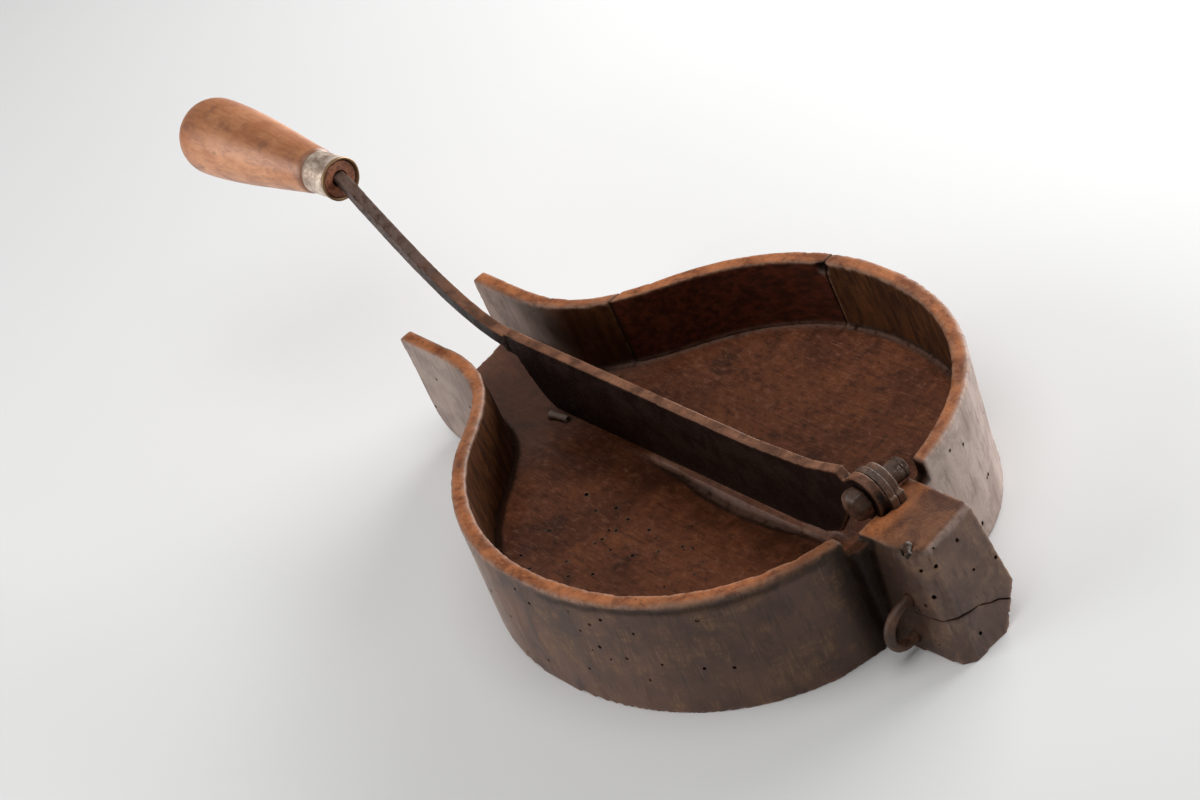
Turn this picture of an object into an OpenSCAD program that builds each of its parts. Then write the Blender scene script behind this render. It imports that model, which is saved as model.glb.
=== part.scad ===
// Hinged-blade tray cutter: a carved wooden tray with a pouring spout, and a
// forged chopping blade that swings on an iron pin above a block at its back.
//
// Frame: +Z up, the tray stands on z = 0. +X points from the spout towards the
// hinge block, and the blade lies in the plane y = 0. Millimetres.

/* [Tray] */
// Height of the tray from the table to its rim
tray_h = 65.5; // [60:0.5:75]
// Greatest reach of the bowl's outer face to the left of the blade
bowl_left = 122.5; // [118:0.5:128]
// Greatest reach to the right, where the bowl was carved a little fuller
bowl_right = 126.5; // [122:0.5:132]
// Thickness of the carved wall
wall_t = 8; // [7:0.5:9]
// Height of the chopping ridge above the table
ridge_z = 20.5; // [18:0.5:24]
// Width of the chopping ridge left between the two hollows
ridge_w = 6; // [5:0.5:9]
// Depth of the two hollows beside the ridge
hollow_d = 5.5; // [3:0.5:7]
// Rise of the dished floor from its middle out to the wall
dish_rise = 9.5; // [7:0.5:11]

/* [Spout] */
// Width of the spout over its outer faces
spout_w = 60; // [56:1:66]
// Distance of the spout's tips in front of the frame's origin
spout_reach = 180; // [172:1:190]
// Radius that rounds the spout's lower front edge
spout_round = 16; // [8:1:17]

/* [Inlaid wall section] */
// Near end of the inlaid section, beside the spout
inlay_start_x = -83; // [-84:1:-80]
// Far end of the inlaid section, in the bowl's side
inlay_end_x = 9; // [0:1:20]
// Glue line left around the inlaid section
glue_gap = 0.1; // [0.05:0.05:0.2]

/* [Hinge block] */
// Height of the block's flat top
block_h = 59; // [58:0.5:61]
// Distance of the block's front edge, at the top, from the origin
block_reach = 213; // [206:1:220]
// How far the block's front face leans out at the table
block_lean = 14; // [8:1:16]
// Half width of the gap in the rim that the blade's eye sits in
notch_half_w = 28; // [26:0.5:30]
// Depth of that gap below the rim
notch_d = 10; // [9.5:0.5:11]

/* [Blade] */
// Thickness of the blade's spine
spine_t = 5.4; // [4:0.2:6]
// Thickness left at the cutting edge
edge_t = 0.8; // [0.4:0.1:1.2]
// Height of the straight part of the spine above the table
spine_z = 67; // [65:0.5:69]
// Gap between the cutting edge and the chopping ridge
edge_gap = 0.2; // [0.1:0.1:0.5]
// Outer radius of the eye at the blade's hinge end
eye_r = 12.3; // [11.6:0.1:12.6]

/* [Tang] */
// Depth of the forged bar that rises from the blade to the grip
tang_d = 8.2; // [7.6:0.2:8.6]
// Width of that bar
tang_w = 6.2; // [6:0.2:6.6]
// Length of the spike that is driven into the grip
spike_len = 78; // [60:1:90]

/* [Grip] */
// Length of the turned grip with its ferrule
grip_len = 141; // [130:1:145]
// Greatest diameter of the pear-shaped grip
grip_d = 43; // [40:0.5:46]
// Length of the ferrule
ferrule_len = 21; // [18:0.5:24]
// Outer diameter of the ferrule
ferrule_d = 22.8; // [22.4:0.2:24]
// Height of the grip's axis above the table
grip_z = 137; // [136:0.5:138]
// Sideways set of the grip
grip_yaw = 2.5; // [0:0.5:4]

/* [Hinge iron] */
// Radius of the hinge pin's shaft
pin_r = 4.2; // [3.8:0.1:4.6]
// Radial running clearance of the blade's eye on the pin
pin_play = 0.08; // [0.02:0.01:0.1]
// Radius of the pin's hammered head
head_r = 8.8; // [8:0.1:9]
// Thickness of each eye spike
eye_spike_t = 4.4; // [4:0.1:4.5]

/* [Side staple and nails] */
// Thickness of the staple's wire
staple_wire = 5.6; // [4.5:0.1:6]
// Distance between the staple's two legs
staple_gap = 22; // [18:1:24]
// Radius of a clenched nail's shank
nail_r = 2.1; // [1.5:0.1:2.4]

/* [Hidden] */
$fn = 72;

// The hinge pin's axis runs along Y through this point.
pin_x = 167;
pin_z = 64.3;

// Each side of the bowl is a superelliptic quarter towards the hinge and an
// elliptic quarter towards the spout, both centred on bowl_x. A side is given
// as [sideways reach, reach towards the hinge, reach towards the spout].
bowl_x = 41;
left_side = [bowl_left, 143, 138];
right_side = [bowl_right, 138, 131];
back_power = 2.2;
join_angle = 138;
curve_step = 6;

spout_half = spout_w / 2;
straight_x = -140;
join_pull = 28;
straight_pull = 52;

// A little more than any cut needs, so that no two faces lie on each other.
over = 1;
reach_all = 600;

wood_dark = [0.30, 0.19, 0.13];
wood_insert = [0.36, 0.20, 0.13];
wood_grip = [0.71, 0.43, 0.22];
iron_dark = [0.16, 0.13, 0.12];
iron_rust = [0.27, 0.20, 0.17];
metal_ferrule = [0.55, 0.51, 0.45];

// ---------------------------------------------------------------- curves

function lerp(a, b, t) = a + (b - a) * t;

// Point at t on the cubic Bezier curve with the control points p.
function bezier(p, t) =
    pow(1 - t, 3) * p[0] + 3 * pow(1 - t, 2) * t * p[1]
    + 3 * (1 - t) * t * t * p[2] + t * t * t * p[3];

// Direction of the same curve at t.
function bezier_dir(p, t) =
    let (d = pow(1 - t, 2) * (p[1] - p[0]) + 2 * (1 - t) * t * (p[2] - p[1]) + t * t * (p[3] - p[2]))
    d / norm(d);

function left_of(d) = [-d[1], d[0]];

function mirrored(points) = [for (i = [len(points) - 1 : -1 : 0]) [points[i][0], -points[i][1]]];

// One side of the tray's plan, from the hinge end round the bowl to the spout
// tip. inset is the distance inside the outer face.
function half_plan(side, inset, tip_x) =
    let (
        half_w = side[0] - inset,
        back = side[1] - inset,
        front = side[2] - inset,
        channel = spout_half - inset,
        join = [bowl_x + front * cos(join_angle), half_w * sin(join_angle)],
        along = [-front * sin(join_angle), half_w * cos(join_angle)],
        bend = [
            join,
            join + join_pull * along / norm(along),
            [straight_x + straight_pull, channel],
            [straight_x, channel]
        ]
    )
    concat(
        [for (a = [curve_step : curve_step : 90])
            [bowl_x + back * pow(cos(a), 2 / back_power), half_w * pow(sin(a), 2 / back_power)]],
        [for (a = [90 + curve_step : curve_step : join_angle])
            [bowl_x + front * cos(a), half_w * sin(a)]],
        [for (t = [0.125 : 0.125 : 1]) bezier(bend, t)],
        [[tip_x, channel]]
    );

module plan(inset, tip_x) {
    right = half_plan(right_side, inset, tip_x);
    left = half_plan(left_side, inset, tip_x);
    polygon(concat(right, mirrored(left)));
}

// Extrudes a side profile, drawn as [x, z], to width w, centred on y = 0.
module side_slab(w) {
    translate([0, w / 2, 0])
        rotate([90, 0, 0])
            linear_extrude(w)
                children();
}

// A cylinder along +Y from y0 to y1 whose axis passes through the hinge pin's.
module hinge_cylinder(r, y0, y1) {
    translate([pin_x, y0, pin_z])
        rotate([-90, 0, 0])
            cylinder(r = r, h = y1 - y0);
}

// ---------------------------------------------------------------- tray

inner_tip_x = -spout_reach - 2 * over;
notch_z = tray_h - notch_d;
notch_x = 150;
notch_end_x = 184;

// The floor is part of a sphere centred on dish_x that reaches its rise at dish_r.
dish_x = 45;
dish_r = 112;
dish_z = ridge_z - hollow_d;
dish_sphere_r = (dish_r * dish_r + dish_rise * dish_rise) / (2 * dish_rise);
floor_edge_z = dish_z + dish_rise;

// The spout's floor is a shallow trough that ends where the dish meets the ridge.
trough_r = 80;
trough_end_x = dish_x - dish_r * sqrt(hollow_d / dish_rise);

// Everything inside the wall's inner face, from height z up.
module inside_wall(z) {
    translate([0, 0, z])
        linear_extrude(tray_h + 2 * over)
            plan(wall_t, inner_tip_x);
}

// Side profile of the tray: flat base, rounded lower edge at the spout.
module tray_profile() {
    r = spout_round;
    front = -spout_reach;
    polygon(concat(
        [[reach_all, 0], [reach_all, tray_h], [front, tray_h]],
        [for (a = [180 : 10 : 270]) [front + r + r * cos(a), r + r * sin(a)]]
    ));
}

// The bowl's dished hollow, parted by the chopping ridge.
module dished_hollow() {
    inside_wall(floor_edge_z);
    difference() {
        intersection() {
            inside_wall(dish_z - over);
            translate([dish_x, 0, dish_z + dish_sphere_r])
                sphere(dish_sphere_r, $fn = 180);
        }
        translate([-reach_all / 2, -ridge_w / 2, 0])
            cube([reach_all, ridge_w, ridge_z]);
    }
}

// The spout's floor, which runs into the bowl level with the top of the ridge.
module spout_trough() {
    intersection() {
        inside_wall(ridge_z - over);
        translate([-reach_all, 0, ridge_z + trough_r])
            rotate([0, 90, 0])
                cylinder(r = trough_r, h = reach_all + trough_end_x);
    }
}

// The length of wall that the inlaid section fills; gap widens it all round.
module inlay_space(gap) {
    intersection() {
        translate([inlay_start_x - gap, 0, floor_edge_z - gap])
            cube([inlay_end_x - inlay_start_x + 2 * gap, reach_all, tray_h]);
        difference() {
            linear_extrude(tray_h + over)
                plan(-over, -spout_reach);
            inside_wall(0);
        }
    }
}

block_x = 170;
block_right = 22.5;
block_deep = 80;
broken_corner = [15, 16];
top_chamfer = 2.5;
front_turn = 5;

// The faces that shape the block. Each one is a point on the face, the
// direction it looks in plan, and how far it tips back from upright.
block_faces = [
    // Left side.
    [[188, -16, block_h], -86.5, 6.3],
    // Bevel down the left front edge.
    [[208.5, -14.3, block_h], -45, 14],
    // Front, and the light chamfer along its top edge.
    [[block_reach, 0, block_h], front_turn, atan2(block_lean, block_h)],
    [[block_reach - top_chamfer, 0, block_h], front_turn, 60],
    // Lower right corner, which is broken away.
    [[block_x, block_right, broken_corner[1]], 90, -atan2(broken_corner[0], broken_corner[1])]
];

// Everything that lies outside one face.
module outside_face(face) {
    translate(face[0])
        rotate([0, 0, face[1]])
            rotate([0, -face[2], 0])
                translate([0, -reach_all / 2, -reach_all / 2])
                    cube(reach_all);
}

module hinge_block() {
    difference() {
        translate([block_x, block_right - block_deep, 0])
            cube([block_deep, block_deep, block_h]);
        for (face = block_faces)
            outside_face(face);
    }
}

// Grooves in the two corners where the curved wall meets the block.
groove_r = 4;
groove_x = 184;
groove_y = 27;

module neck_grooves() {
    for (side = [-1, 1])
        translate([groove_x, side * groove_y, -over])
            cylinder(r = groove_r, h = tray_h + 2 * over);
}

// Room for the blade's eye and the pin's head to turn in the wall's top.
eye_room = 0.8;
side_room = 0.5;

// The tray before it is hollowed out: flat base, rounded edge at the spout.
module tray_blank() {
    intersection() {
        linear_extrude(tray_h)
            plan(0, -spout_reach);
        side_slab(reach_all)
            tray_profile();
    }
}

module tray_body() {
    color(wood_dark)
        difference() {
            union() {
                difference() {
                    tray_blank();
                    translate([notch_x, -notch_half_w, notch_z])
                        cube([notch_end_x - notch_x, 2 * notch_half_w, tray_h]);
                }
                hinge_block();
            }
            dished_hollow();
            spout_trough();
            neck_grooves();
            hinge_cylinder(eye_r + eye_room, -eye_half - side_room, eye_half + ring_gap / 2);
            hinge_cylinder(head_r + eye_room, head_y - side_room, -eye_half);
            inlay_space(glue_gap);
            eye_spike(0, fit_gap);
            eye_spike(1, fit_gap);
            side_staple_form(fit_gap);
            for (place = nail_places)
                clenched_nail(place, fit_gap);
        }
}

module wall_insert() {
    color(wood_insert)
        intersection() {
            tray_blank();
            inlay_space(0);
        }
}

// ---------------------------------------------------------------- blade

edge_z = ridge_z + edge_gap;
heel_x = 96;
shoulder = [-114, 54.5];
tang_root = [-118, 61.8];

// The bar's centre line leaves the blade, climbs, and turns level at the grip.
grip_mouth_x = -224;
straight_in = 6;
spike_start = [grip_mouth_x - straight_in, grip_z];
tang_bend = [-212.5, 124.6];
tang_rise = [tang_root, [-160, 66], [-187.8, 100.4], tang_bend];
tang_turn = [tang_bend, [-218, 131.5], [-222, grip_z], spike_start];
root_swell = 1.12;
neck_taper = 0.86;
spike_half = neck_taper * tang_d / 2;
spike_tip_half = 1.8;

// Outline of the blade plate, drawn as [x, z].
module blade_outline() {
    polygon([
        // Cutting edge, then the heel that rises to the eye.
        [-103, edge_z],
        [heel_x, edge_z],
        [heel_x + 22, edge_z + 2.5],
        [heel_x + 37, edge_z + 9],
        [pin_x - 10, pin_z - 6],
        // Over the eye and down the raised end of the spine.
        [pin_x - 3, pin_z + eye_r - 1],
        [pin_x - 10.5, pin_z + 7.7],
        [pin_x - 14, pin_z + 11.7],
        [128, spine_z + 3],
        [86, spine_z],
        [-96, spine_z + 0.5],
        // Front end, with the shoulder where the bar begins.
        [tang_root[0], spine_z + 1],
        [tang_root[0] - 6, shoulder[1] + 0.5],
        shoulder,
        [shoulder[0] + 1.5, 42],
        [shoulder[0] + 5, 29]
    ]);
}

// Cross-section of the plate, drawn as [y, z]: a wedge ground from the spine's
// straight sides down to the cutting edge.
grind_z = spine_z - 14;

module blade_section() {
    top = pin_z + eye_r;
    polygon([
        [-edge_t / 2, edge_z],
        [edge_t / 2, edge_z],
        [spine_t / 2, grind_z],
        [spine_t / 2, top],
        [-spine_t / 2, top],
        [-spine_t / 2, grind_z]
    ]);
}

// Outline of the bar and its spike: the centre line, offset to both sides.
module tang_outline() {
    rise = [for (t = [0 : 0.1 : 1]) [bezier(tang_rise, t), bezier_dir(tang_rise, t)]];
    turn = [for (t = [0.2 : 0.2 : 1]) [bezier(tang_turn, t), bezier_dir(tang_turn, t)]];
    line = concat(rise, turn);
    last = len(line) - 1;
    half = [for (i = [0 : last]) lerp(root_swell, neck_taper, i / last) * tang_d / 2];
    upper = [for (i = [0 : last]) line[i][0] - half[i] * left_of(line[i][1])];
    lower = [for (i = [last : -1 : 0]) line[i][0] + half[i] * left_of(line[i][1])];
    spike_end = grip_mouth_x - spike_len;
    polygon(concat(
        upper,
        [[spike_end, grip_z + spike_tip_half], [spike_end, grip_z - spike_tip_half]],
        lower
    ));
}

module blade() {
    color(iron_dark)
        difference() {
            union() {
                intersection() {
                    side_slab(tang_w)
                        blade_outline();
                    rotate([90, 0, 90])
                        translate([0, 0, -reach_all / 2])
                            linear_extrude(reach_all)
                                blade_section();
                }
                side_slab(tang_w)
                    tang_outline();
                hinge_cylinder(eye_r, -eye_half, eye_half);
            }
            hinge_cylinder(pin_r + pin_play, -spine_t, spine_t);
        }
}

// ---------------------------------------------------------------- grip

bulb_x = grip_len - grip_d / 2;
ferrule_wall = 0.9;
neck_r = ferrule_d / 2 - ferrule_wall;
ferrule_lip = 0.4;
glue_line = 0.05;
mouth_hole_r = 6.4;
mouth_hole_depth = 9;
plug_set_back = 1;

// Places a form drawn along +Z, from the ferrule's mouth, onto the grip's axis.
module on_grip_axis() {
    translate([grip_mouth_x, 0, grip_z])
        rotate([0, 0, grip_yaw])
            rotate([0, -90, 0])
                children();
}

// Half profile of the grip as [radius, distance from the mouth].
function grip_profile() =
    let (
        r = grip_d / 2,
        plug_r = neck_r - glue_line,
        collar_z = ferrule_len + glue_line,
        swell = [
            [ferrule_d / 2 + 0.6, ferrule_len + 2.5],
            [ferrule_d / 2 + 2.4, ferrule_len + 20],
            [r, bulb_x - 32],
            [r, bulb_x - 2]
        ]
    )
    concat(
        [[0, plug_set_back], [plug_r, plug_set_back], [plug_r, collar_z]],
        [[ferrule_d / 2 + 0.1, collar_z]],
        [for (t = [0 : 0.125 : 1]) bezier(swell, t)],
        [for (a = [9 : 9 : 90]) [r * cos(a), bulb_x + r * sin(a)]]
    );

module grip() {
    color(wood_grip)
        difference() {
            on_grip_axis()
                rotate_extrude()
                    polygon(grip_profile());
            on_grip_axis()
                cylinder(r = mouth_hole_r, h = mouth_hole_depth);
            spike_hole();
        }
}

// The hole that the spike was burnt into the grip: a hair wider all round.
burn_gap = 0.15;

module spike_hole() {
    root = spike_half + burn_gap;
    tip = spike_tip_half + burn_gap;
    mouth = grip_mouth_x + over;
    end = grip_mouth_x - spike_len - burn_gap;
    side_slab(tang_w + 2 * burn_gap)
        polygon([
            [mouth, grip_z + root],
            [spike_start[0], grip_z + root],
            [end, grip_z + tip],
            [end, grip_z - tip],
            [spike_start[0], grip_z - root],
            [mouth, grip_z - root]
        ]);
}

module ferrule() {
    outer = ferrule_d / 2;
    color(metal_ferrule)
        on_grip_axis()
            rotate_extrude()
                polygon([
                    [neck_r, 0],
                    [outer + ferrule_lip, 0],
                    [outer + ferrule_lip, 0.8],
                    [outer - 0.1, 3],
                    [outer, ferrule_len],
                    [neck_r, ferrule_len]
                ]);
}

// ---------------------------------------------------------------- hinge iron

// Along the pin, from its head: blade eye, inner ring, outer ring, washer, tail.
fit_gap = 0.05;
ring_gap = 0.15;
eye_half = spine_t / 2;
head_len = 8;
head_y = -eye_half - ring_gap - head_len;
ring_y = [eye_half + ring_gap, eye_half + ring_gap + eye_spike_t + fit_gap];
washer_y = 20;
washer_t = 1.6;
washer_r = 5.6;
tail_y = washer_y + washer_t;
tail_r = 5;
tail_len = 2.4;

// Half profile of the pin as [radius, distance from the head's face].
module pin_profile() {
    shaft_end = tail_y - head_y;
    polygon([
        // Head, hammered to a low dome.
        [0, 0],
        [head_r - 3, 0],
        [head_r - 0.6, 2],
        [head_r, 3.6],
        [head_r - 0.5, head_len],
        // Shaft, then the tail that is spread over the washer.
        [pin_r, head_len],
        [pin_r, shaft_end],
        [tail_r, shaft_end],
        [tail_r - 0.6, shaft_end + tail_len - 0.8],
        [0, shaft_end + tail_len]
    ]);
}

module hinge_pin() {
    color(iron_rust)
        translate([pin_x, head_y, pin_z])
            rotate([-90, 0, 0])
                rotate_extrude()
                    pin_profile();
}

module pin_washer() {
    color(iron_rust)
        difference() {
            hinge_cylinder(washer_r, washer_y, washer_y + washer_t);
            hinge_cylinder(pin_r + fit_gap, washer_y - over, tail_y + over);
        }
}

// Two forged rings carry the pin. Each has a square shank that is driven down
// through the wall's top into the block.
ring_r = [12.2, 10.9];
shank_x = 173.5;
shank_w = 7;
shank_len = 40;
shank_point = 8;

module eye_spike(i, grow) {
    left = shank_x - grow;
    right = shank_x + shank_w + grow;
    bottom = pin_z - shank_len;
    hinge_cylinder(ring_r[i] + grow, ring_y[i] - grow, ring_y[i] + eye_spike_t + grow);
    translate([0, ring_y[i] + eye_spike_t / 2, 0])
        side_slab(eye_spike_t + 2 * grow)
            polygon([
                [left, pin_z],
                [left, bottom],
                [shank_x + shank_w / 2, bottom - shank_point - grow],
                [right, bottom],
                [right, pin_z]
            ]);
}

module eye_spike_inner() {
    color(iron_dark)
        difference() {
            eye_spike(0, 0);
            hinge_cylinder(pin_r + fit_gap, -reach_all, reach_all);
        }
}

module eye_spike_outer() {
    color(iron_dark)
        difference() {
            eye_spike(1, 0);
            hinge_cylinder(pin_r + fit_gap, -reach_all, reach_all);
        }
}

// ---------------------------------------------------------------- staple and nails

// The staple's middle, where its bend begins.
staple_place = [197.3, -24, 18];
staple_tilt = 9;
staple_turn = 3.5;
staple_leg = 20;

// A U of round wire whose legs enter the block's left side.
module side_staple_form(grow) {
    r = staple_wire / 2 + grow;
    bend = staple_gap / 2;
    translate(staple_place)
        rotate([0, staple_tilt, staple_turn]) {
            rotate([0, 90, 0])
                rotate([0, 0, 180])
                    rotate_extrude(angle = 180)
                        translate([bend, 0])
                            circle(r);
            for (side = [-1, 1])
                translate([0, 0, side * bend])
                    rotate([-90, 0, 0])
                        cylinder(r = r, h = staple_leg);
        }
}

module side_staple() {
    color(iron_rust)
        side_staple_form(0);
}

// Each nail's foot, the direction its end is bent to, and how far it lies over.
nail_places = [
    [[-99, -6, ridge_z], 8, 12],
    [[206, -12.5, block_h], -40, 7]
];
nail_depth = 9;
nail_lift = 0.7;
knuckle = 1.3;

// A nail driven in, with its end hammered over along the surface.
module clenched_nail(place, grow) {
    r = nail_r + grow;
    translate(place[0])
        rotate([0, 0, place[1]]) {
            translate([0, 0, -nail_depth])
                cylinder(r = r, h = nail_depth + nail_lift * nail_r);
            translate([0, 0, nail_lift * nail_r]) {
                rotate([0, 90, 0])
                    cylinder(r = r, h = place[2] + grow);
                sphere(knuckle * r);
            }
        }
}

module clenched_nails() {
    color(iron_dark)
        for (place = nail_places)
            clenched_nail(place, 0);
}

tray_body();
wall_insert();
blade();
grip();
ferrule();
hinge_pin();
pin_washer();
eye_spike_inner();
eye_spike_outer();
side_staple();
clenched_nails();
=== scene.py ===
"""Hinged-blade tray cutter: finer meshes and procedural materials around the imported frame.

Lengths are in metres. X runs from the spout (minus) to the hinge block (plus), the blade lies
in the plane y = 0, and z = 0 is the tray's base.
"""

import math

import bpy
import numpy as np
from mathutils import Matrix, Vector
from mathutils.kdtree import KDTree


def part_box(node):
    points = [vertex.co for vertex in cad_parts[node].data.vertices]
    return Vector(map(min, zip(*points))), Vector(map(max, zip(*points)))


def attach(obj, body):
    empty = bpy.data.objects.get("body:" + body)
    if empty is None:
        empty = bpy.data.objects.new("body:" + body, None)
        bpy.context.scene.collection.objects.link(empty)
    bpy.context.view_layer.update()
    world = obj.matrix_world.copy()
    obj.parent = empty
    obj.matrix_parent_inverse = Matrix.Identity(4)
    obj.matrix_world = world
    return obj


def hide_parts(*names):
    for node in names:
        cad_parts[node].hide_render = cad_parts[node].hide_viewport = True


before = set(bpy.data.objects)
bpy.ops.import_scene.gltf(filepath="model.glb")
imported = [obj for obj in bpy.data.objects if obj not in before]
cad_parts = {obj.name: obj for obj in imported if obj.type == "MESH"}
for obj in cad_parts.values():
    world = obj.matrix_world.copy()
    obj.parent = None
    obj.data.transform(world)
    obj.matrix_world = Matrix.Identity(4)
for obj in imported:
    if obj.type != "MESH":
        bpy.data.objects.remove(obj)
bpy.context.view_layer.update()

MM = 0.001

# ---------------------------------------------------------------- noise and curves on arrays


def smooth_step(low, high, value):
    """0 at low and 1 at high, smooth between them; low may be the larger of the two."""
    t = np.clip((value - low) / (high - low), 0, 1)
    return t * t * (3 - 2 * t)


def fade(value, stretch):
    """0 before the stretch (start, end), 1 past it; a stretch may run backwards."""
    return smooth_step(stretch[0], stretch[1], value)


def lattice(cell, seed):
    """A repeatable number from -1 to 1 for each whole-numbered cell."""
    mixed = cell[:, 0] * 73856093 ^ cell[:, 1] * 19349663 ^ cell[:, 2] * 83492791 ^ seed * 2654435
    mixed = (mixed ^ (mixed >> 13)) * 1274126177
    mixed = mixed ^ (mixed >> 16)
    return (mixed & 0xFFFF) / 32767.5 - 1


def value_noise(points, size, seed):
    """Smooth noise from -1 to 1; size is the length of one cell, or one length per axis."""
    scaled = points / np.asarray(size, float)
    cell = np.floor(scaled).astype(np.int64)
    part = scaled - cell
    part = part * part * (3 - 2 * part)
    total = np.zeros(len(points))
    for corner in range(8):
        step = np.array([corner & 1, corner >> 1 & 1, corner >> 2 & 1])
        weight = np.prod(np.where(step, part, 1 - part), axis=1)
        total += weight * lattice(cell + step, seed)
    return total


def rough_noise(points, size, seed, octaves=3):
    """Noise summed over octaves, each half the size and half the strength of the last."""
    size = np.asarray(size, float)
    total = np.zeros(len(points))
    for octave in range(octaves):
        total += value_noise(points, size / 2**octave, seed + octave) / 2**octave
    return total / (2 - 2 ** (1 - octaves))


# ---------------------------------------------------------------- mesh helpers


def coordinates(mesh):
    co = np.empty(len(mesh.vertices) * 3)
    mesh.vertices.foreach_get("co", co)
    return co.reshape(-1, 3)


def set_coordinates(mesh, co):
    mesh.vertices.foreach_set("co", co.ravel())
    mesh.update()


def vertex_normals(mesh):
    normals = np.empty(len(mesh.vertices) * 3)
    mesh.vertex_normals.foreach_get("vector", normals)
    return normals.reshape(-1, 3)


def push_out(mesh, distance):
    """Moves each point along its normal by its own distance."""
    set_coordinates(mesh, coordinates(mesh) + vertex_normals(mesh) * distance[:, None])


def edge_pairs(mesh):
    pairs = np.empty(len(mesh.edges) * 2, np.int64)
    mesh.edges.foreach_get("vertices", pairs)
    return pairs.reshape(-1, 2)


def neighbour_mean(values, pairs):
    """The mean over each vertex's neighbours, for a value or a vector per vertex."""
    n = len(values)
    both = np.concatenate([pairs, pairs[:, ::-1]])
    count = np.maximum(np.bincount(both[:, 0], minlength=n), 1)
    columns = values.reshape(n, -1)
    sums = [np.bincount(both[:, 0], weights=c[both[:, 1]], minlength=n) for c in columns.T]
    return (np.array(sums) / count).T.reshape(values.shape)


def relax(values, pairs, rounds):
    for _ in range(rounds):
        values = 0.5 * values + 0.5 * neighbour_mean(values, pairs)
    return values


def smooth_in_place(values, pairs, rounds):
    """Taubin smoothing: takes away facets and steps but keeps the volume."""
    for _ in range(rounds):
        values = values + 0.5 * (neighbour_mean(values, pairs) - values)
        values = values - 0.53 * (neighbour_mean(values, pairs) - values)
    return values


def convexity(co, normals, pairs, spread):
    """How far each point stands out from the mean of those around it."""
    return ((co - relax(co, pairs, spread)) * normals).sum(axis=1)


def store(mesh, name, values):
    attribute = mesh.attributes.get(name) or mesh.attributes.new(name, "FLOAT", "POINT")
    attribute.data.foreach_set("value", np.asarray(values, np.float32))


def store_wear(mesh, spread):
    """Convexity, worn on edges, and its opposite, which gathers grime and painted shade in corners."""
    pairs = edge_pairs(mesh)
    bulge = convexity(coordinates(mesh), vertex_normals(mesh), pairs, spread)
    bulge = relax(bulge, pairs, 2) / np.percentile(np.abs(bulge), 99)
    store(mesh, "wear", np.clip(bulge, 0, 1))
    store(mesh, "grime_and_shade", np.clip(-bulge, 0, 1))


def new_object(name, mesh):
    obj = bpy.data.objects.new(name, mesh)
    bpy.context.scene.collection.objects.link(obj)
    return obj


def mesh_object(name, vertices, faces):
    mesh = bpy.data.meshes.new(name)
    mesh.from_pydata([tuple(v) for v in vertices], [], faces)
    mesh.update()
    return new_object(name, mesh)


def apply_modifiers(obj):
    depsgraph = bpy.context.evaluated_depsgraph_get()
    mesh = bpy.data.meshes.new_from_object(obj.evaluated_get(depsgraph), depsgraph=depsgraph)
    obj.modifiers.clear()
    obj.data = mesh


def fine_copy(node, name, voxel, rounds):
    """A copy of a CAD node as an even, fine mesh whose edges are worn round."""
    obj = new_object(name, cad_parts[node].data.copy())
    obj.data.materials.clear()
    remesh = obj.modifiers.new("even", "REMESH")
    remesh.mode = "VOXEL"
    remesh.voxel_size = voxel
    apply_modifiers(obj)
    set_coordinates(obj.data, smooth_in_place(coordinates(obj.data), edge_pairs(obj.data), rounds))
    return obj


def thin_out(obj, triangles):
    """Collapses the mesh to about this many triangles, flat stretches first."""
    now = sum(len(p.vertices) - 2 for p in obj.data.polygons)
    if now > triangles:
        collapse = obj.modifiers.new("thin", "DECIMATE")
        collapse.ratio = triangles / now
        apply_modifiers(obj)


def subtract(obj, vertices, faces):
    """Takes the solid made of these faces away from obj and marks the cut's surface as a hole."""
    cutter = mesh_object("cutter", vertices, faces)
    store(cutter.data, "hole", np.ones(len(vertices)))
    cut = obj.modifiers.new("holes", "BOOLEAN")
    cut.operation = "DIFFERENCE"
    cut.solver = "MANIFOLD"
    cut.object = cutter
    apply_modifiers(obj)
    bpy.data.objects.remove(cutter)


def cut_holes(obj, places, directions, radii, depth):
    """Cuts small round holes with one boolean; each runs inwards from the surface."""
    sides = 10
    above = 1.5 * MM
    vertices, faces = [], []
    for point, direction, radius in zip(places, directions, radii):
        inwards = -Vector(direction).normalized()
        across = inwards.orthogonal().normalized()
        along = inwards.cross(across)
        first = len(vertices)
        for end in (-above, depth):
            for i in range(sides):
                turn = 2 * math.pi * i / sides
                rim = across * math.cos(turn) + along * math.sin(turn)
                vertices.append(Vector(point) + inwards * end + rim * radius)
        ring = range(first, first + sides)
        faces.append(list(reversed(ring)))
        faces.append([i + sides for i in ring])
        for i in range(sides):
            a, b = first + i, first + (i + 1) % sides
            faces.append([a, b, b + sides, a + sides])
    subtract(obj, vertices, faces)


def place(obj, body, node, material):
    """Puts a finished piece on its body, in the CAD node's stead."""
    mesh = obj.data
    mesh.materials.clear()
    mesh.materials.append(material)
    mesh.polygons.foreach_set("use_smooth", np.ones(len(mesh.polygons), bool))
    mesh.set_sharp_from_angle(angle=math.radians(45))
    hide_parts(node)
    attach(obj, body)


# ---------------------------------------------------------------- materials


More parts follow.
